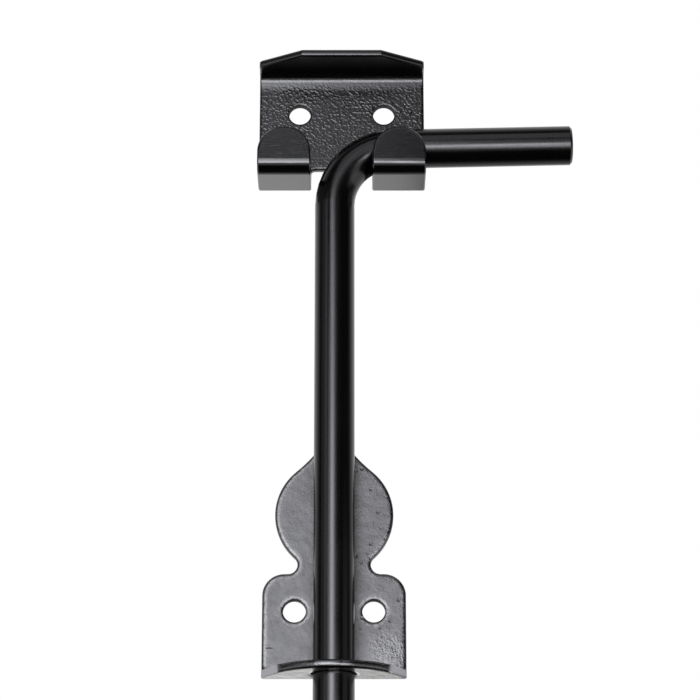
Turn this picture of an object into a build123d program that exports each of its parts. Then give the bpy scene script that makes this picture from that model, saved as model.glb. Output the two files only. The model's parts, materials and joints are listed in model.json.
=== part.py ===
from build123d import *

import math
import os

# A drop bolt for a gate or door: a bent steel rod that hangs by its handle in a hooked
# bracket and slides through a guide bracket below it. Both brackets are folded sheet.
#
# Millimetres. The origin is midway between the two screw holes of the holding bracket, on the
# wall side of its plate. +X is to the right, +Z is up, and everything stands out towards -Y,
# so a "depth" below is a distance from the wall.

# Rod
rod_diameter = 12.7
rod_length = 457.0  # lower end to the top of the bend
rod_bend_radius = 20.0  # to the middle of the bar
handle_reach = 76.8  # middle of the upright bar to the handle's end
handle_rise = 1.25  # degrees above level
handle_end_chamfer = 0.7
lower_end_chamfer = 1.6

# Sheet that both brackets are folded from
sheet = 2.5
fold_radius = 1.5  # inside of each fold, but for the top flange's
edge_bevel = 0.4  # eased punched edges
corner_round = 1.2  # corners of the flat blank
fold_line_turn = 20  # degrees; faces that meet at less are one bent face, not a punched edge
screw_hole_diameter = 7.1

# How the rod sits in the brackets
rod_side_clearance = 1.2  # rod to plate, and rod to hook tongue
guide_clearance = 0.8  # rod to the rim of the guide hole
shank_clearance = 3.6  # rod to each hook, if it stood midway between them
shank_offset = 2.2  # the rod stands this far left of the holding bracket's middle
seat_clearance = 0.3  # bend to the edge of the hook that carries it
lift_clearance = 0.4  # bend to the top flange, fully lifted

# Holding bracket
hook_width = 17.1
holder_hole_spacing = 27.6
flange_height = 14.2  # holes to the underside of the top flange
flange_fold_radius = 2.6  # inside of its fold, which is wider than the others
plate_edge_distance = 19.7  # holes to the plate's edge between the hooks
hook_drop_height = 5.3  # that edge down to the top of the hook floor
tongue_height = 12.8  # hook floor to the top of the tongue
flange_side_depth = 8.7
flange_front_depth = 17.0
flange_front_width = 26.0

# Guide bracket, heights taken from its own screw holes
bracket_spacing = 167.5  # holding bracket's holes to the guide bracket's holes
guide_hole_spacing = 24.4
guide_flange_distance = 21.4  # holes to the underside of the bottom flange
guide_lip = 3.3  # sheet left in front of the rod's hole
guide_side_depth = 4.8  # where the flange's bowed front edge meets its sides
shoulder_height = 11.8
shoulder_radius = 6.8
shoulder_flat_width = 1.0
lobe_height = 30.7
lobe_radius = 18.4
neck_radius = 3.0
tip_flare_angle = 40.0  # from upright, where the lobe turns into the tip
tip_flare_radius = 45.0
tip_nose_radius = 1.2

# Worked out from the sizes above
rod_radius = rod_diameter / 2
outer_fold = fold_radius + sheet
slot_depth = rod_diameter + 2 * rod_side_clearance
rod_depth = sheet + slot_depth / 2
hook_depth = sheet + slot_depth + sheet
hook_gap = rod_diameter + 2 * shank_clearance
holder_width = hook_gap + 2 * hook_width
rod_x = -shank_offset

flange_top = flange_height + sheet
floor_top = -(plate_edge_distance + hook_drop_height)
floor_underside = floor_top - sheet
tongue_top = floor_top + tongue_height

guide_hole_radius = rod_radius + guide_clearance
guide_depth = rod_depth + guide_hole_radius + guide_lip
guide_underside = -guide_flange_distance

# The lobe stands on its base through an arc on each side of the neck. The base is as wide as
# those two arcs, a short flat and a round shoulder on each side need.
neck_drop = lobe_height - shoulder_height - neck_radius
neck_side = math.sqrt((lobe_radius + neck_radius) ** 2 - neck_drop**2)
guide_width = 2 * (neck_side + shoulder_flat_width + shoulder_radius)

# The rod hangs by the inside of its bend on the inner edge of the right hook, or by its
# handle on the hook floor where that is met first. bend_centre is the middle of the bend.
bend_centre_x = rod_x + rod_bend_radius
bend_inside = rod_bend_radius - rod_radius - seat_clearance
hung_on_edge = floor_top - math.sqrt(bend_inside**2 - (bend_centre_x - hook_gap / 2) ** 2)
hung_on_floor = floor_top - bend_inside
bend_centre_z = max(hung_on_edge, hung_on_floor)
rod_low_end = bend_centre_z + rod_bend_radius + rod_radius - rod_length

side_view = Plane(origin=(0, 0, 0), x_dir=(0, -1, 0), z_dir=(-1, 0, 0))
front_view = Plane.XZ
top_view = Plane.XY


# A strip of sheet folded along the corner points of its outer face, given as depth and height,
# with the outer radius of each fold.
def folded_strip(corners, radii, width):
    with BuildPart() as strip:
        with BuildSketch(side_view):
            with BuildLine():
                FilletPolyline(*corners, radius=radii)
                offset(amount=sheet, side=Side.LEFT)
            make_face()
        extrude(amount=width / 2, both=True)
    return strip.part


# Edges where the cut rim of the sheet meets its two faces, so not the lines of the folds.
def punched_edges(body):
    sharp = ShapeList()
    faces = body.faces()
    for edge in body.edges():
        middle = edge @ 0.5
        beside = [face for face in faces if any(edge.is_same(other) for other in face.edges())]
        if len(beside) == 2:
            turn = beside[0].normal_at(middle).get_angle(beside[1].normal_at(middle))
            if turn > fold_line_turn:
                sharp.append(edge)
    return sharp


# Two screw holes side by side, to be cut through a plate.
def screw_holes(spacing):
    with BuildPart() as holes:
        with BuildSketch(front_view.offset(-sheet)):
            with GridLocations(spacing, 0, 2, 1):
                Circle(screw_hole_diameter / 2)
        extrude(amount=3 * sheet)
    return holes.part


# What is cut away beside the top flange, seen from above: its two front corners.
def flange_corners():
    half_side = holder_width / 2
    half_front = flange_front_width / 2
    with BuildPart() as corners:
        with BuildSketch(top_view.offset(flange_height - sheet)):
            with Locations((0, -holder_width / 2)):
                Rectangle(2 * holder_width, holder_width)
            with BuildSketch(mode=Mode.SUBTRACT) as kept:
                with BuildLine():
                    Polyline(
                        (-half_side, 0),
                        (-half_side, -flange_side_depth),
                        (-half_front, -flange_front_depth),
                        (half_front, -flange_front_depth),
                        (half_side, -flange_side_depth),
                        (half_side, 0),
                        close=True,
                    )
                make_face()
                fillet(kept.vertices().filter_by(lambda v: v.Y < 0), corner_round)
        extrude(amount=3 * sheet)
    return corners.part


# What is cut away between the two hooks, from the plate's lower edge down.
def gap_between_hooks():
    height = 2 * (hook_drop_height + outer_fold)
    with BuildPart() as gap:
        with BuildSketch(front_view.offset(-sheet)) as opening:
            with Locations((0, -plate_edge_distance)):
                Rectangle(hook_gap, height, align=(Align.CENTER, Align.MAX))
            fillet(opening.vertices().group_by(Axis.Y)[-1], corner_round)
        extrude(amount=hook_depth + 2 * sheet)
        with BuildSketch(front_view.offset(sheet + slot_depth / 2)):
            with Locations((0, floor_underside - sheet)):
                Rectangle(hook_gap, 2 * tongue_height, align=(Align.CENTER, Align.MIN))
        extrude(amount=hook_depth)
    return gap.part


# What is cut away above each tongue, to leave its top a full half circle.
def tongue_corners(middle_x):
    radius = hook_width / 2
    with BuildPart() as corners:
        with BuildSketch(front_view.offset(sheet + slot_depth / 2)):
            with Locations((middle_x, tongue_top - radius)):
                Rectangle(hook_width, 2 * radius, align=(Align.CENTER, Align.MIN))
                Circle(radius, mode=Mode.SUBTRACT)
        extrude(amount=hook_depth)
    return corners.part


# One sheet: a plate whose top is folded forward as a stop for the lifted rod, and whose lower
# corners run down, forward and up again as two hooks. The handle lies in either of them.
def make_holding_bracket():
    body = folded_strip(
        [
            (flange_front_depth, flange_top),
            (0, flange_top),
            (0, floor_underside),
            (hook_depth, floor_underside),
            (hook_depth, tongue_top),
        ],
        [flange_fold_radius + sheet, outer_fold, outer_fold],
        holder_width,
    )
    body -= flange_corners()
    body -= gap_between_hooks()
    hook_middle = (hook_gap + hook_width) / 2
    body -= tongue_corners(-hook_middle)
    body -= tongue_corners(hook_middle)
    body = chamfer(punched_edges(body), edge_bevel)
    body -= screw_holes(holder_hole_spacing)
    return body


# The rod: an upright bar bent over at the top into a handle that rises slightly.
def make_cane_bolt():
    arc_turn = 90 - handle_rise
    rise = math.radians(handle_rise)
    bend_run = rod_bend_radius * (1 - math.sin(rise))
    handle_run = (handle_reach - bend_run) / math.cos(rise)
    with BuildPart() as rod:
        with BuildLine(front_view.offset(rod_depth)) as path:
            upright = Line((rod_x, rod_low_end), (rod_x, bend_centre_z))
            bend = JernArc(upright @ 1, upright % 1, rod_bend_radius, -arc_turn)
            Line(bend @ 1, bend @ 1 + (bend % 1) * handle_run)
        with BuildSketch(Plane(path.line @ 0, z_dir=(0, 0, 1))):
            Circle(rod_radius)
        sweep(path=path.line)
        ends = rod.faces().filter_by(GeomType.PLANE)
        chamfer(ends.sort_by(Axis.Z)[0].edges(), lower_end_chamfer)
        chamfer(rod.faces().sort_by(Axis.X)[-1].edges(), handle_end_chamfer)
    return rod.part


# Front outline of the guide plate: a base with round shoulders, a neck, a round lobe and a
# pointed tip, each arc tangent to the next.
def guide_outline():
    lobe_centre = Vector(0, lobe_height)
    neck_centre = Vector(neck_side, shoulder_height + neck_radius)
    to_neck = (neck_centre - lobe_centre).normalized()
    flare = math.radians(tip_flare_angle)
    to_flare = Vector(math.sin(flare), math.cos(flare))
    flare_centre = lobe_centre + to_flare * (lobe_radius + tip_flare_radius)
    tip_height = flare_centre.Y - math.sqrt(tip_flare_radius**2 - flare_centre.X**2)

    half_width = guide_width / 2
    shoulder_side = Vector(half_width, shoulder_height - shoulder_radius)
    shoulder_end = Vector(half_width - shoulder_radius, shoulder_height)
    neck_start = Vector(neck_centre.X, shoulder_height)
    lobe_start = lobe_centre + to_neck * lobe_radius
    lobe_side = lobe_centre + Vector(lobe_radius, 0)
    lobe_end = lobe_centre + to_flare * lobe_radius
    tip = Vector(0, tip_height)
    foot = guide_underside - sheet

    with BuildSketch(front_view) as outline:
        with BuildLine():
            Polyline((0, foot), (half_width, foot), shoulder_side)
            RadiusArc(shoulder_side, shoulder_end, -shoulder_radius)
            Line(shoulder_end, neck_start)
            RadiusArc(neck_start, lobe_start, neck_radius)
            ThreePointArc(lobe_start, lobe_side, lobe_end)
            RadiusArc(lobe_end, tip, tip_flare_radius)
            Line(tip, (0, foot))
        make_face()
        mirror(about=Plane.YZ)
        fillet(outline.vertices().sort_by(Axis.Y)[-1], tip_nose_radius)
    return outline.sketch


# What is cut away in front of the bottom flange, seen from above: its front edge is one bowed
# arc from side to side.
def guide_flange_front():
    half_width = guide_width / 2
    left_end = (-half_width, -guide_side_depth)
    right_end = (half_width, -guide_side_depth)
    with BuildPart() as front:
        with BuildSketch(top_view.offset(guide_underside - sheet)):
            with Locations((0, -guide_depth)):
                Rectangle(2 * guide_width, 2 * guide_depth)
            with BuildSketch(mode=Mode.SUBTRACT) as kept:
                with BuildLine():
                    Polyline(left_end, (-half_width, 0), (half_width, 0), right_end)
                    ThreePointArc(right_end, (0, -guide_depth), left_end)
                make_face()
                fillet(kept.vertices().group_by(Axis.Y)[0], corner_round)
        extrude(amount=2 * sheet + fold_radius)
    return front.part


# One sheet: an upright plate with two screw holes, folded forward at the foot, with a hole
# that the rod slides through.
def make_guide_bracket():
    outline = guide_outline()
    above_tip = outline.bounding_box().max.Z + sheet
    body = folded_strip(
        [(0, above_tip), (0, guide_underside), (guide_depth + sheet, guide_underside)],
        [outer_fold],
        guide_width,
    )
    body &= extrude(outline, amount=guide_depth + 2 * sheet)
    body -= guide_flange_front()
    body = chamfer(punched_edges(body), edge_bevel)
    body -= screw_holes(guide_hole_spacing)
    body -= Pos(0, -rod_depth, guide_underside) * Cylinder(guide_hole_radius, 4 * sheet)
    return Pos(rod_x, 0, -bracket_spacing) * body


# How far the rod can be lifted before the top of its handle meets the top flange.
def lift_travel():
    rise = math.radians(handle_rise)
    chamfer_run = (holder_width - flange_front_width) / 2
    chamfer_share = (rod_depth - flange_side_depth) / (flange_front_depth - flange_side_depth)
    flange_end = holder_width / 2 - chamfer_run * max(chamfer_share, 0)
    handle_top = bend_centre_z + (rod_bend_radius + rod_radius) / math.cos(rise)
    handle_top += (flange_end - bend_centre_x) * math.tan(rise)
    return flange_height - handle_top - lift_clearance


pieces = {
    "holding_bracket": make_holding_bracket(),
    "cane_bolt": make_cane_bolt(),
    "guide_bracket": make_guide_bracket(),
}

os.makedirs("parts", exist_ok=True)
for name, piece in pieces.items():
    export_step(piece, f"parts/{name}.step")
    size = piece.bounding_box().size
    print(f"{name}: {size.X:.1f} x {size.Y:.1f} x {size.Z:.1f} mm, {piece.volume / 1000:.2f} cm3")
print(f"lift travel {lift_travel():.2f} mm")
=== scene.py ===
import json
import math

import bpy
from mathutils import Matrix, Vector


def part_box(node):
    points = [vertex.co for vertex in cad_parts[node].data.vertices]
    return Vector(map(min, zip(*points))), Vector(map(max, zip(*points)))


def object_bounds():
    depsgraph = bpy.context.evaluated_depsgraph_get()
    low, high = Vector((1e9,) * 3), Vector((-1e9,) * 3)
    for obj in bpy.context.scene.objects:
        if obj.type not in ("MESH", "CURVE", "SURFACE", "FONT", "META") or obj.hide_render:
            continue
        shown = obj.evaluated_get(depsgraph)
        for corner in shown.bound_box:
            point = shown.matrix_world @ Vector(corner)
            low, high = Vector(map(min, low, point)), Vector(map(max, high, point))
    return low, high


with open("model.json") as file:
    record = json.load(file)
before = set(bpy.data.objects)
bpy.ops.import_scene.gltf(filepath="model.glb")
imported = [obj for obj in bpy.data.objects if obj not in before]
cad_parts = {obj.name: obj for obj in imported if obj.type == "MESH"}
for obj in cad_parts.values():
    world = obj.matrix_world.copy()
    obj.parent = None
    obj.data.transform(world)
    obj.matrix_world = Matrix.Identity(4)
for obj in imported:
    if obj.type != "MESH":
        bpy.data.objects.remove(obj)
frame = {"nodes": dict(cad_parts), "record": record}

# Black cane bolt for a gate: a bent rod in a hooked holding bracket and a guide bracket.
# Metres, same frame as the solids. The wall plane is y = 0 and the parts stand out to -y.

mm = 0.001
cadLow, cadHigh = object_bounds()
holdingBracket = frame["nodes"]["holding_bracket"]
boltRod = frame["nodes"]["cane_bolt"]
guideBracket = frame["nodes"]["guide_bracket"]
mounts = {mount["name"]: mount for mount in frame["record"]["mounts"]}
print("loaded", len(frame["nodes"]), "pieces")


# camera: stands below both brackets and looks up at them
photoCamera = {
    "place": (2.7 * mm, -750 * mm, -350 * mm),
    "lookUp": 19.7,  # degrees above level
    "lens": 128.2,
    "sensorWidth": 36,
    "clip": (0.05, 50),
}


def placeCamera(settings):
    cameraData = bpy.data.cameras.new("photoCamera")
    cameraData.lens = settings["lens"]
    cameraData.sensor_width = settings["sensorWidth"]
    cameraData.clip_start, cameraData.clip_end = settings["clip"]
    camera = bpy.data.objects.new("photoCamera", cameraData)
    camera.location = settings["place"]
    camera.rotation_euler = (math.radians(90 + settings["lookUp"]), 0, 0)
    bpy.context.scene.collection.objects.link(camera)
    bpy.context.scene.camera = camera


placeCamera(photoCamera)
print("camera placed")


# small helpers for node trees, where a value is a number, a node's output, or a node for its first output
white = (1, 1, 1, 1)
nodeStep = (220, 180)  # between the columns and rows of the laid out nodes
noiseSpan = (0.3, 0.7)  # most of what a noise gives lies between these
mixSockets = {"FLOAT": (2, 3, 0), "VECTOR": (4, 5, 1)}  # the two inputs and the result of each kind of mix


def feed(tree, socket, value):
    if isinstance(value, bpy.types.Node):
        value = value.outputs[0]
    if isinstance(value, bpy.types.NodeSocket):
        tree.links.new(value, socket)
    else:
        socket.default_value = value


def addNode(tree, kind, inputs=(), **settings):
    node = tree.nodes.new(kind)
    for name, value in settings.items():
        setattr(node, name, value)
    for name, value in dict(inputs).items():
        feed(tree, node.inputs[name], value)
    return node


def addMath(tree, operation, *values):
    return addNode(tree, "ShaderNodeMath", enumerate(values), operation=operation).outputs[0]


def product(tree, first, *others):
    for other in others:
        first = addMath(tree, "MULTIPLY", first, other)
    return first


def hypotenuse(tree, across, along):
    squares = addMath(tree, "ADD", product(tree, across, across), product(tree, along, along))
    return addMath(tree, "SQRT", squares)


def addMix(tree, share, first, second, kind="FLOAT"):
    firstSocket, secondSocket, result = mixSockets[kind]
    inputs = {0: share, firstSocket: first, secondSocket: second}
    return addNode(tree, "ShaderNodeMix", inputs, data_type=kind).outputs[result]


# from one end value to the other while the given value crosses the span, with soft ends
def ramp(tree, value, span, ends, style="SMOOTHSTEP"):
    inputs = {
        "Value": value,
        "From Min": span[0],
        "From Max": span[1],
        "To Min": ends[0],
        "To Max": ends[1],
    }
    return addNode(tree, "ShaderNodeMapRange", inputs, interpolation_type=style).outputs["Result"]


# the same in a straight line, to give a noise the range of a setting
def spread(tree, value, ends, span=noiseSpan):
    return ramp(tree, value, span, ends, "LINEAR")


def splitPlace(tree, place):
    return addNode(tree, "ShaderNodeSeparateXYZ", {0: place}).outputs


def seenByCamera(tree, rays):
    return addMath(tree, "MAXIMUM", rays.outputs["Is Camera Ray"], rays.outputs["Is Transmission Ray"])


def startMaterial(name):
    material = bpy.data.materials.new(name)
    material.use_nodes = True
    tree = material.node_tree
    tree.nodes.clear()
    return material, tree


# in columns, each node left of all that it feeds
def arrangeNodes(tree):
    columns = {node.name: 0 for node in tree.nodes}
    for _ in tree.nodes:
        for link in tree.links:
            behind = columns[link.to_node.name] + 1
            columns[link.from_node.name] = max(columns[link.from_node.name], behind)
    rows = {}
    for node in tree.nodes:
        column = columns[node.name]
        rows[column] = rows.get(column, -1) + 1
        node.location = (-column * nodeStep[0], -rows[column] * nodeStep[1])


# studio: pale floor that turns white far away, white surroundings, soft lamps
studio = {
    "floorGap": 1.5 * mm,  # floor below the rod's lower end
    "floorSize": 60.0,
    "floorColour": (0.80, 0.80, 0.80, 1),
    "floorLift": (0.22, 0.30),  # glow that the camera sees on top of the lamps' light, near and far
    "floorFar": (0.8, 4.0),  # distances between which it rises
    "roomLight": 0.60,  # soft light from all round
    "roomDark": 0.02,  # what the black coats mirror of the room in front
    "roomWhite": 1.0,  # and of the white backdrop behind
    "backdrop": (0.0, 0.75),  # how far back the mirrored backdrop starts, and where it is full
    "backdropRise": 0.4,  # looking up counts as looking back by this share
    "paintedDarkReflection": 0.01,  # painted reflection: the dark glow that glossy rays alone see on the floor
    "darkReflectionBackEdge": (0.10, 0.55),  # it fades out behind here
    "darkReflectionSideEdges": (0.26, 0.42),  # and to its left and right
    "darkReflectionFrontEdge": (-0.68, -0.42),  # and in front of it
    "paintedReflectionShade": (-0.10, 0.10),  # painted shade in the reflection: from left to right the glow that glossy rays see behind gets greyer
    "paintedReflectionGrey": 0.62,
    "paintedReflectionSideGlow": 1.1,  # painted reflection: the glow that glossy rays alone see beside the dark patch
    "paintedReflectionFrontGlow": 0.7,  # and in front of it
    "sunStrength": 0.95,
    "sunSoftness": 24,  # degrees
    "sunTilt": (28, -24),  # degrees forward and to the left
}


# the camera sees pale paper; glossy rays alone see the floor glow as a painted reflection, dark under the
# bolt and in front
def makeFloor(settings):
    half = settings["floorSize"] / 2
    height = cadLow.z - settings["floorGap"]
    corners = [(-half, -half, height), (half, -half, height), (half, half, height), (-half, half, height)]
    mesh = bpy.data.meshes.new("studioFloor")
    mesh.from_pydata(corners, [], [(0, 1, 2, 3)])
    floor = bpy.data.objects.new("studioFloor", mesh)
    bpy.context.scene.collection.objects.link(floor)

    material, tree = startMaterial("palePaperPaintedReflection")
    rays = addNode(tree, "ShaderNodeLightPath")
    place = addNode(tree, "ShaderNodeTexCoord").outputs["Object"]
    where = splitPlace(tree, place)
    away = addNode(tree, "ShaderNodeVectorMath", {0: place}, operation="LENGTH").outputs["Value"]
    lift = ramp(tree, away, settings["floorFar"], settings["floorLift"])
    lift = product(tree, seenByCamera(tree, rays), lift)
    paper = addNode(tree, "ShaderNodeBsdfDiffuse", {"Color": settings["floorColour"]})
    glow = addNode(tree, "ShaderNodeEmission", {"Color": white, "Strength": lift})
    seen = addNode(tree, "ShaderNodeAddShader", {0: paper, 1: glow})

    # painted reflection: a glow that glossy rays alone see, dark under and in front of the bolt, white
    # behind and beside, greyer to the right behind
    behind = ramp(tree, where["Y"], settings["darkReflectionBackEdge"], (settings["paintedDarkReflection"], settings["roomWhite"]))
    shade = ramp(tree, where["X"], settings["paintedReflectionShade"], (1, settings["paintedReflectionGrey"]))
    beside = addMath(tree, "ABSOLUTE", where["X"])
    beside = ramp(tree, beside, settings["darkReflectionSideEdges"], (0, settings["paintedReflectionSideGlow"]))
    front = ramp(tree, where["Y"], settings["darkReflectionFrontEdge"], (settings["paintedReflectionFrontGlow"], 0))
    pale = addMath(tree, "MAXIMUM", product(tree, behind, shade), beside)
    pale = addMath(tree, "MAXIMUM", pale, front)
    mirrored = addNode(tree, "ShaderNodeEmission", {"Color": white, "Strength": pale})
    either = addNode(tree, "ShaderNodeMixShader", {0: rays.outputs["Is Glossy Ray"], 1: seen, 2: mirrored})
    addNode(tree, "ShaderNodeOutputMaterial", {"Surface": either})
    arrangeNodes(tree)
    mesh.materials.append(material)


# white for the camera; the glossy coats see it white behind, grey above and dark in front
def makeSurroundings(settings):
    world = bpy.data.worlds.new("studioRoom")
    bpy.context.scene.world = world
    world.use_nodes = True
    tree = world.node_tree
    tree.nodes.clear()
    rays = addNode(tree, "ShaderNodeLightPath")
    direction = splitPlace(tree, addNode(tree, "ShaderNodeTexCoord").outputs["Generated"])
    upward = product(tree, direction["Z"], settings["backdropRise"])
    backward = addMath(tree, "ADD", direction["Y"], upward)
    mirrored = ramp(tree, backward, settings["backdrop"], (settings["roomDark"], settings["roomWhite"]))
    unseen = addMix(tree, rays.outputs["Is Glossy Ray"], settings["roomLight"], mirrored)
    strength = addMix(tree, seenByCamera(tree, rays), unseen, 1.0)
    background = addNode(tree, "ShaderNodeBackground", {"Color": white, "Strength": strength})
    addNode(tree, "ShaderNodeOutputWorld", {"Surface": background})
    arrangeNodes(tree)


def makeSun(settings):
    sunData = bpy.data.lights.new("softSun", "SUN")
    sunData.energy = settings["sunStrength"]
    sunData.angle = math.radians(settings["sunSoftness"])
    sun = bpy.data.objects.new("softSun", sunData)
    forward, left = settings["sunTilt"]
    sun.rotation_euler = (math.radians(forward), math.radians(left), 0)
    sun.visible_glossy = False
    bpy.context.scene.collection.objects.link(sun)


makeFloor(studio)
makeSurroundings(studio)
makeSun(studio)
print("floor, room and sun ready")


# the large key light: three rows, each brightest left of the middle
keyLight = {
    "distance": 0.760,  # in front of the wall
    "rows": {  # z, height, glow
        "Top": (0.200, 0.132, 5.9),
        "Middle": (0.082, 0.104, 9.3),
        "Low": (-0.030, 0.120, 11.0),
    },
    "columns": {  # from x, to x, share of the row's glow
        "FarLeft": (-0.560, -0.360, 0.24),
        "Left": (-0.360, -0.250, 0.55),
        "Hot": (-0.250, -0.110, 1.15),
        "Middle": (-0.110, -0.010, 0.78),
        "Right": (-0.010, 0.034, 0.42),
        "FarRight": (0.034, 0.110, 0.11),
    },
}

coolWhite = (0.975, 0.98, 1.045)
warmWhite = (1.02, 1.0, 0.985)

# the other panels' middle, width and height, and glow, which is brightness where 1 is white paper
softPanels = {
    "lowPanel": {"place": (-0.100, -0.760, -0.180), "size": (0.540, 0.180), "glow": 11.0},
    "lowRight": {"place": (0.230, -0.760, -0.350), "size": (0.300, 0.160), "glow": 6.0},
    "lowLeft": {"place": (-0.135, -0.760, -0.340), "size": (0.430, 0.140), "glow": 1.0},
    "rodTop": {"place": (-0.235, -0.760, 0.290), "size": (0.250, 0.048), "glow": 5.0},
    "rodRight": {"place": (0.120, -0.760, 0.090), "size": (0.080, 0.300), "glow": 1.1},
    "bendRight": {"place": (0.280, -0.760, -0.150), "size": (0.180, 0.130), "glow": 8.0},
    "foldRight": {"place": (0.026, -0.760, 0.200), "size": (0.062, 0.132), "glow": 1.9},
    "foldTop": {"place": (0.012, -0.760, 0.277), "size": (0.090, 0.022), "glow": 0.9},
    "frontFill": {"place": (-0.050, -0.760, 0.394), "size": (0.160, 0.180), "glow": 0.58},
    "leftNear": {
        "place": (-0.620, -0.560, 0.050), "size": (0.200, 0.600), "glow": 1.1,
        "facing": (0.74, 0.67, 0),
    },
    "leftFar": {
        "place": (-0.740, -0.330, 0.050), "size": (0.300, 0.600), "glow": 0.35,
        "facing": (0.91, 0.41, 0),
    },
    "rightFill": {
        "place": (0.680, -0.320, -0.200), "size": (0.400, 0.500), "glow": 0.40,
        "facing": (-0.90, 0.43, 0),
    },
    "overhead": {
        "place": (0.0, -0.660, 0.560), "size": (0.800, 0.500), "glow": 1.0,
        "facing": (0, 0.64, -0.77),
    },
    "backPanel": {
        "place": (-0.177, 0.750, -0.330), "size": (0.446, 0.250), "glow": 0.75,
        "facing": (0, -1, 0.2), "colour": warmWhite,
    },
}


# a panel is for the gloss alone; the room and the sun light the paper
def hangPanel(name, place, size, glow, facing=(0, 1, 0), colour=coolWhite):
    width, height = size
    panelData = bpy.data.lights.new(name, "AREA")
    panelData.shape = "RECTANGLE"
    panelData.size = width
    panelData.size_y = height
    panelData.energy = math.pi * glow * width * height  # the power that gives this brightness
    panelData.color = colour
    panel = bpy.data.objects.new(name, panelData)
    panel.location = place
    panel.rotation_euler = Vector(facing).to_track_quat("-Z", "Y").to_euler()
    panel.visible_camera = False
    panel.visible_diffuse = False
    bpy.context.scene.collection.objects.link(panel)


def hangKeyLight(settings):
    for rowName, (height, tall, glow) in settings["rows"].items():
        for columnName, (left, right, share) in settings["columns"].items():
            place = ((left + right) / 2, -settings["distance"], height)
            hangPanel("key" + rowName + columnName, place, (right - left, tall), glow * share)


hangKeyLight(keyLight)
for panelName, panelSettings in softPanels.items():
    hangPanel(panelName, **panelSettings)
print("panels hung")


# what the coats share
sheetThickness = 2.5 * mm
bevelSamples = 12
roundingSpan = (0.985, 0.999)  # likeness of the rounded and the flat surface, from round to flat
spotCore = 0.2  # share of a spot's radius that is full
holeWall = {
    "margins": (0.02 * mm, 0.15 * mm),  # past the hole's edge, where the wall's coat fades out
    "roughness": 0.75,  # thin rough coat on the walls
}


def roundEdges(tree, radius):
    return addNode(tree, "ShaderNodeBevel", {"Radius": radius}, samples=bevelSamples)


# a dark gloss shader, the place on the piece, and the surface with its edges rounded by the coat
def startCoat(name, settings):
    material, tree = startMaterial(name)
    shader = addNode(
        tree, "ShaderNodeBsdfPrincipled", {"Base Color": settings["colour"], "IOR": settings["gloss"]},
    )
    addNode(tree, "ShaderNodeOutputMaterial", {"Surface": shader})
    place = addNode(tree, "ShaderNodeTexCoord").outputs["Object"]
    return material, tree, shader, place, roundEdges(tree, settings["edgeRadius"])


def giveCoat(piece, material):
    arrangeNodes(material.node_tree)
    piece.data.materials.clear()
    piece.data.materials.append(material)


# 1 where the coat rounds an edge, 0 on the flats
def onEdges(tree, edges):
    flat = addNode(tree, "ShaderNodeNewGeometry").outputs["Normal"]
    likeness = addNode(tree, "ShaderNodeVectorMath", {0: edges, 1: flat}, operation="DOT_PRODUCT")
    return ramp(tree, likeness.outputs["Value"], roundingSpan, (1, 0))


def stretchedNoise(tree, place, size, stretch=(1, 1, 1), turn=0.0, detail=2.0, distortion=0.0):
    mapping = addNode(
        tree, "ShaderNodeMapping",
        {"Vector": place, "Rotation": (0, math.radians(turn), 0), "Scale": stretch},
        vector_type="TEXTURE",
    )
    noise = addNode(
        tree, "ShaderNodeTexNoise",
        {"Vector": mapping, "Scale": 1 / size, "Detail": detail, "Distortion": distortion},
    )
    return noise.outputs["Fac"]


def addBump(tree, height, depth, under):
    return addNode(
        tree, "ShaderNodeBump", {"Strength": 1.0, "Distance": depth, "Height": height, "Normal": under},
    )


# 1 at a spot on the front of a plate, fading to 0 at its radius; stretch makes it long or thin
def spot(tree, where, middle, radius, stretch=(1, 1)):
    across = addMath(tree, "SUBTRACT", where["X"], middle[0])
    across = addMath(tree, "DIVIDE", across, radius * stretch[0])
    along = addMath(tree, "SUBTRACT", where["Z"], middle[1])
    along = addMath(tree, "DIVIDE", along, radius * stretch[1])
    return ramp(tree, hypotenuse(tree, across, along), (spotCore, 1), (1, 0))


# 1 on the walls of a bracket's two screw holes
def onHoleWalls(tree, where, screws):
    radius = screws["dims"]["hole_r_mm"] * mm
    spacing = screws["dims"]["spacing_x_mm"] * mm
    across = addMath(tree, "SUBTRACT", where["X"], screws["pos_m"][0])
    across = addMath(tree, "SUBTRACT", addMath(tree, "ABSOLUTE", across), spacing / 2)
    along = addMath(tree, "SUBTRACT", where["Z"], screws["pos_m"][2])
    span = [radius + margin for margin in holeWall["margins"]]
    return ramp(tree, hypotenuse(tree, across, along), span, (1, 0))


# 1 halfway up a flange's front edge, 0 at its upper and lower faces
def crownAround(tree, height, middle):
    fromMiddle = addMath(tree, "SUBTRACT", height, middle)
    fromMiddle = addMath(tree, "DIVIDE", fromMiddle, sheetThickness / 2)
    crown = addMath(tree, "SUBTRACT", 1.0, product(tree, fromMiddle, fromMiddle))
    return addMath(tree, "MAXIMUM", crown, 0.0)


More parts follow.
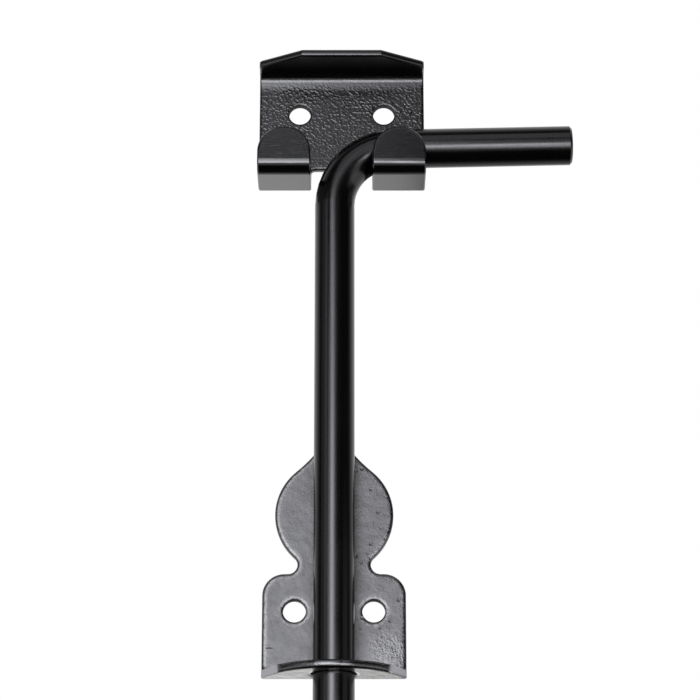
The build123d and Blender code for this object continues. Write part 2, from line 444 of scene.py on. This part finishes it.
# holding bracket: wrinkled on the plate, smooth and faintly brushed on the hooks
holderCoat = {
    "colour": (0.0018, 0.0018, 0.0020, 1),
    "gloss": 1.50,  # index of the clear top of the coat
    "edgeRadius": 1.3 * mm,  # the coat rounds the punched edges by this much
    "foldEdge": 0.20 * mm,  # crisper on the folds
    "hookFold": (-22.0 * mm, -20.0 * mm),  # heights between which the hooks' folds begin
    "topFold": (9.5 * mm, 11.5 * mm),  # and the top flange's
    "crownDepth": 0.45 * mm,  # how far the top flange's front edge bulges
    "crownFrom": (-8.0 * mm, -6.0 * mm),  # depths where the bulge begins
    "leanDepth": 0.45 * mm,  # the plate curves outward over the last stretch below the top fold
    "leanHeights": (7.0 * mm, 13.0 * mm),
    "wrinkle": {  # long side falling to the right, turned by degrees
        "size": 0.85 * mm, "stretch": (1.2, 1.0, 1.0), "turn": 40.0,
        "detail": 0.5, "distortion": 0.2,
    },
    "wrinkleRise": (0.44, 0.66),  # part of the noise that rises, so that flats stay between the wrinkles
    "wrinkleDepth": 0.064 * mm,
    "patch": {"size": 7.0 * mm},  # the wrinkles come in patches, from shallow to deep
    "patchDepths": (0.35, 1.3),
    "plateDepths": (-5.0 * mm, -3.0 * mm),  # the wrinkles fade in between these two depths
    "plateTop": (8.0 * mm, 11.5 * mm),  # and are fainter at the top fold
    "topWrinkles": 0.12,
    "plateFoot": (-17.0 * mm, -4.0 * mm),  # and between the hooks
    "footWrinkles": 0.42,
    "brush": {"size": 0.55 * mm, "stretch": (14, 1, 1)},
    "brushDepth": 0.020 * mm,
    "plateRoughness": 0.195,
    "topRoughness": 0.19,
    "hookRoughness": 0.13,
    "flangeRoughness": 0.30,
    "edgeRoughness": 0.10,
}


def coatHolder(piece, settings):
    material, tree, shader, place, edges = startCoat("wrinkledBlackCoat", settings)
    where = splitPlace(tree, place)
    depth = where["Y"]
    height = where["Z"]

    radius = ramp(tree, height, settings["hookFold"], (settings["foldEdge"], settings["edgeRadius"]))
    onTop = ramp(tree, height, settings["topFold"], (0, 1))
    feed(tree, edges.inputs["Radius"], addMix(tree, onTop, radius, settings["foldEdge"]))

    onPlate = ramp(tree, depth, settings["plateDepths"], (0, 1))
    belowFold = ramp(tree, height, settings["plateTop"], (1, settings["topWrinkles"]))
    aboveHooks = ramp(tree, height, settings["plateFoot"], (settings["footWrinkles"], 1))
    wrinkle = stretchedNoise(tree, place, **settings["wrinkle"])
    wrinkle = ramp(tree, wrinkle, settings["wrinkleRise"], (0, 1))
    patches = spread(tree, stretchedNoise(tree, place, **settings["patch"]), settings["patchDepths"])
    wrinkled = product(tree, wrinkle, patches, onPlate, belowFold, aboveHooks)
    brushed = stretchedNoise(tree, place, **settings["brush"])
    surface = addBump(tree, brushed, settings["brushDepth"], edges)
    surface = addBump(tree, wrinkled, settings["wrinkleDepth"], surface)

    lean = ramp(tree, height, settings["leanHeights"], (0, 1))
    surface = addBump(tree, product(tree, lean, lean), settings["leanDepth"], surface)
    crown = crownAround(tree, height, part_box("holding_bracket")[1].z - sheetThickness / 2)
    crown = product(tree, crown, ramp(tree, depth, settings["crownFrom"], (1, 0)))
    surface = addBump(tree, crown, settings["crownDepth"], surface)
    feed(tree, shader.inputs["Normal"], surface)

    plateEnds = (settings["plateRoughness"], settings["topRoughness"])
    ofPlate = ramp(tree, height, settings["plateTop"], plateEnds)
    otherEnds = (settings["hookRoughness"], settings["flangeRoughness"])
    ofOthers = ramp(tree, height, settings["topFold"], otherEnds)
    rough = addMix(tree, onPlate, ofOthers, ofPlate)
    rough = addMix(tree, onEdges(tree, edges), rough, settings["edgeRoughness"])
    walls = onHoleWalls(tree, where, mounts["holder_screws"])
    rough = addMix(tree, walls, rough, holeWall["roughness"])
    feed(tree, shader.inputs["Roughness"], rough)
    giveCoat(piece, material)


# rod: smooth half gloss coat
rodCoat = {
    "colour": (0.0015, 0.0015, 0.0016, 1),
    "gloss": 1.42,
    "edgeRadius": 0.30 * mm,
    "grain": {"size": 0.8 * mm, "stretch": (1, 1, 3)},
    "grainDepth": 0.008 * mm,
    "cloud": {"size": 9.0 * mm, "stretch": (1, 1, 2)},
    "roughness": (0.17, 0.22),
}


def coatRod(piece, settings):
    material, tree, shader, place, edges = startCoat("glossBlackCoat", settings)
    grain = stretchedNoise(tree, place, **settings["grain"])
    feed(tree, shader.inputs["Normal"], addBump(tree, grain, settings["grainDepth"], edges))
    cloud = stretchedNoise(tree, place, **settings["cloud"])
    feed(tree, shader.inputs["Roughness"], spread(tree, cloud, settings["roughness"]))
    giveCoat(piece, material)


# guide bracket: satin, a little mottled, with small pits, a scuffed corner and a scratch
guideCoat = {
    "colour": (0.0018, 0.0018, 0.0020, 1),
    "gloss": 1.73,
    "edgeRadius": 1.4 * mm,
    "grain": {"size": 0.7 * mm, "distortion": 0.4},
    "grainDepth": 0.055 * mm,
    "cloud": {"size": 4.0 * mm},
    "cloudDepth": 0.20 * mm,
    "plateDepths": (-4.5 * mm, -3.2 * mm),  # the plate is behind these two depths, the flange in front
    "roughness": (0.45, 0.51),
    "flangeRoughness": (0.20, 0.28),
    "fatEdge": 2.8 * mm,  # width of the faint swelling of the coat along the edges
    "fatShare": 0.13,  # how much of it shows
    "fatRoughness": 0.27,
    "pitSpacing": 2.9 * mm,
    "pitShare": 0.28,  # of the cells of that size have a pit, right of the rod
    "pitWall": (0.05, 0.22),  # in cells from a pit's middle, where its wall begins and ends
    "pitDepth": 0.17 * mm,
    "scuff": {"size": 1.1 * mm, "stretch": (1, 1, 1.4), "distortion": 0.8},
    "scuffSpot": {"middle": (15.0 * mm, -180.0 * mm), "radius": 10.0 * mm},
    "scuffDepth": 0.22 * mm,
    "scuffRoughness": 0.33,
    "scratchSpot": {"middle": (-22.0 * mm, -179.1 * mm), "radius": 1.6 * mm, "stretch": (1, 0.14)},
    "scratchDepth": 0.12 * mm,
    "rimFrom": (-4.4 * mm, -4.0 * mm),  # depths where the bottom flange's bulging front edge begins
    "rimDepth": 0.32 * mm,
    "rimFade": (14.0 * mm, 18.0 * mm),  # the bulge fades towards both ends
    "rimEdge": 0.3 * mm,
    "rimLeast": 0.03,  # share of the bulge from which a place counts as rim
    "endFrom": (14.5 * mm, 18.0 * mm),  # the rim's two ends lie flat to the front, from here on
    "endFacing": (-0.06, -1.0, 0.0),
    "endRoughness": 0.42,
    "edgeRoughness": 0.08,
}


def coatGuide(piece, settings):
    material, tree, shader, place, edges = startCoat("satinBlackCoat", settings)
    where = splitPlace(tree, place)
    screws = mounts["guide_screws"]
    sideways = addMath(tree, "SUBTRACT", where["X"], screws["pos_m"][0])

    fat = roundEdges(tree, settings["fatEdge"])
    surface = addMix(tree, settings["fatShare"], edges, fat, "VECTOR")
    grain = stretchedNoise(tree, place, **settings["grain"])
    surface = addBump(tree, grain, settings["grainDepth"], surface)
    cloud = stretchedNoise(tree, place, **settings["cloud"])
    surface = addBump(tree, cloud, settings["cloudDepth"], surface)

    pits = addNode(
        tree, "ShaderNodeTexVoronoi", {"Vector": place, "Scale": 1 / settings["pitSpacing"]}, feature="F1",
    )
    hollow = spread(tree, pits.outputs["Distance"], (1.0, 0.0), settings["pitWall"])
    chosen = addMath(tree, "LESS_THAN", pits.outputs["Color"], settings["pitShare"])
    onRight = addMath(tree, "GREATER_THAN", sideways, 0.0)
    level = addMath(tree, "SUBTRACT", 1.0, product(tree, hollow, chosen, onRight))
    surface = addBump(tree, level, settings["pitDepth"], surface)

    scuff = stretchedNoise(tree, place, **settings["scuff"])
    nearScuff = spot(tree, where, **settings["scuffSpot"])
    surface = addBump(tree, product(tree, scuff, nearScuff), settings["scuffDepth"], surface)
    level = addMath(tree, "SUBTRACT", 1.0, spot(tree, where, **settings["scratchSpot"]))
    surface = addBump(tree, level, settings["scratchDepth"], surface)

    bulge = crownAround(tree, where["Z"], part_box("guide_bracket")[0].z + sheetThickness / 2)
    inFront = ramp(tree, where["Y"], settings["rimFrom"], (1, 0))
    onRim = product(tree, inFront, addMath(tree, "GREATER_THAN", bulge, settings["rimLeast"]))
    feed(tree, edges.inputs["Radius"], addMix(tree, onRim, settings["edgeRadius"], settings["rimEdge"]))
    aside = addMath(tree, "ABSOLUTE", sideways)
    fade = ramp(tree, aside, settings["rimFade"], (1, 0))
    surface = addBump(tree, product(tree, bulge, inFront, fade), settings["rimDepth"], surface)
    atEnds = product(tree, ramp(tree, aside, settings["endFrom"], (0, 1)), onRim)
    facing = Vector(settings["endFacing"]).normalized()
    surface = addMix(tree, atEnds, surface, facing, "VECTOR")
    surface = addNode(tree, "ShaderNodeVectorMath", {0: surface}, operation="NORMALIZE")
    feed(tree, shader.inputs["Normal"], surface)

    rough = spread(tree, cloud, settings["roughness"])
    rough = addMix(tree, nearScuff, rough, settings["scuffRoughness"])
    rough = addMix(tree, onEdges(tree, fat), rough, settings["fatRoughness"])
    onFlange = spread(tree, cloud, settings["flangeRoughness"])
    onPlate = ramp(tree, where["Y"], settings["plateDepths"], (0, 1))
    rough = addMix(tree, onPlate, onFlange, rough)
    rough = addMix(tree, onEdges(tree, edges), rough, settings["edgeRoughness"])
    rough = addMix(tree, atEnds, rough, settings["endRoughness"])
    rough = addMix(tree, onHoleWalls(tree, where, screws), rough, holeWall["roughness"])
    feed(tree, shader.inputs["Roughness"], rough)
    giveCoat(piece, material)


coatHolder(holdingBracket, holderCoat)
coatRod(boltRod, rodCoat)
coatGuide(guideBracket, guideCoat)
print("coats on all pieces")


bpy.context.scene.view_settings.view_transform = "Standard"
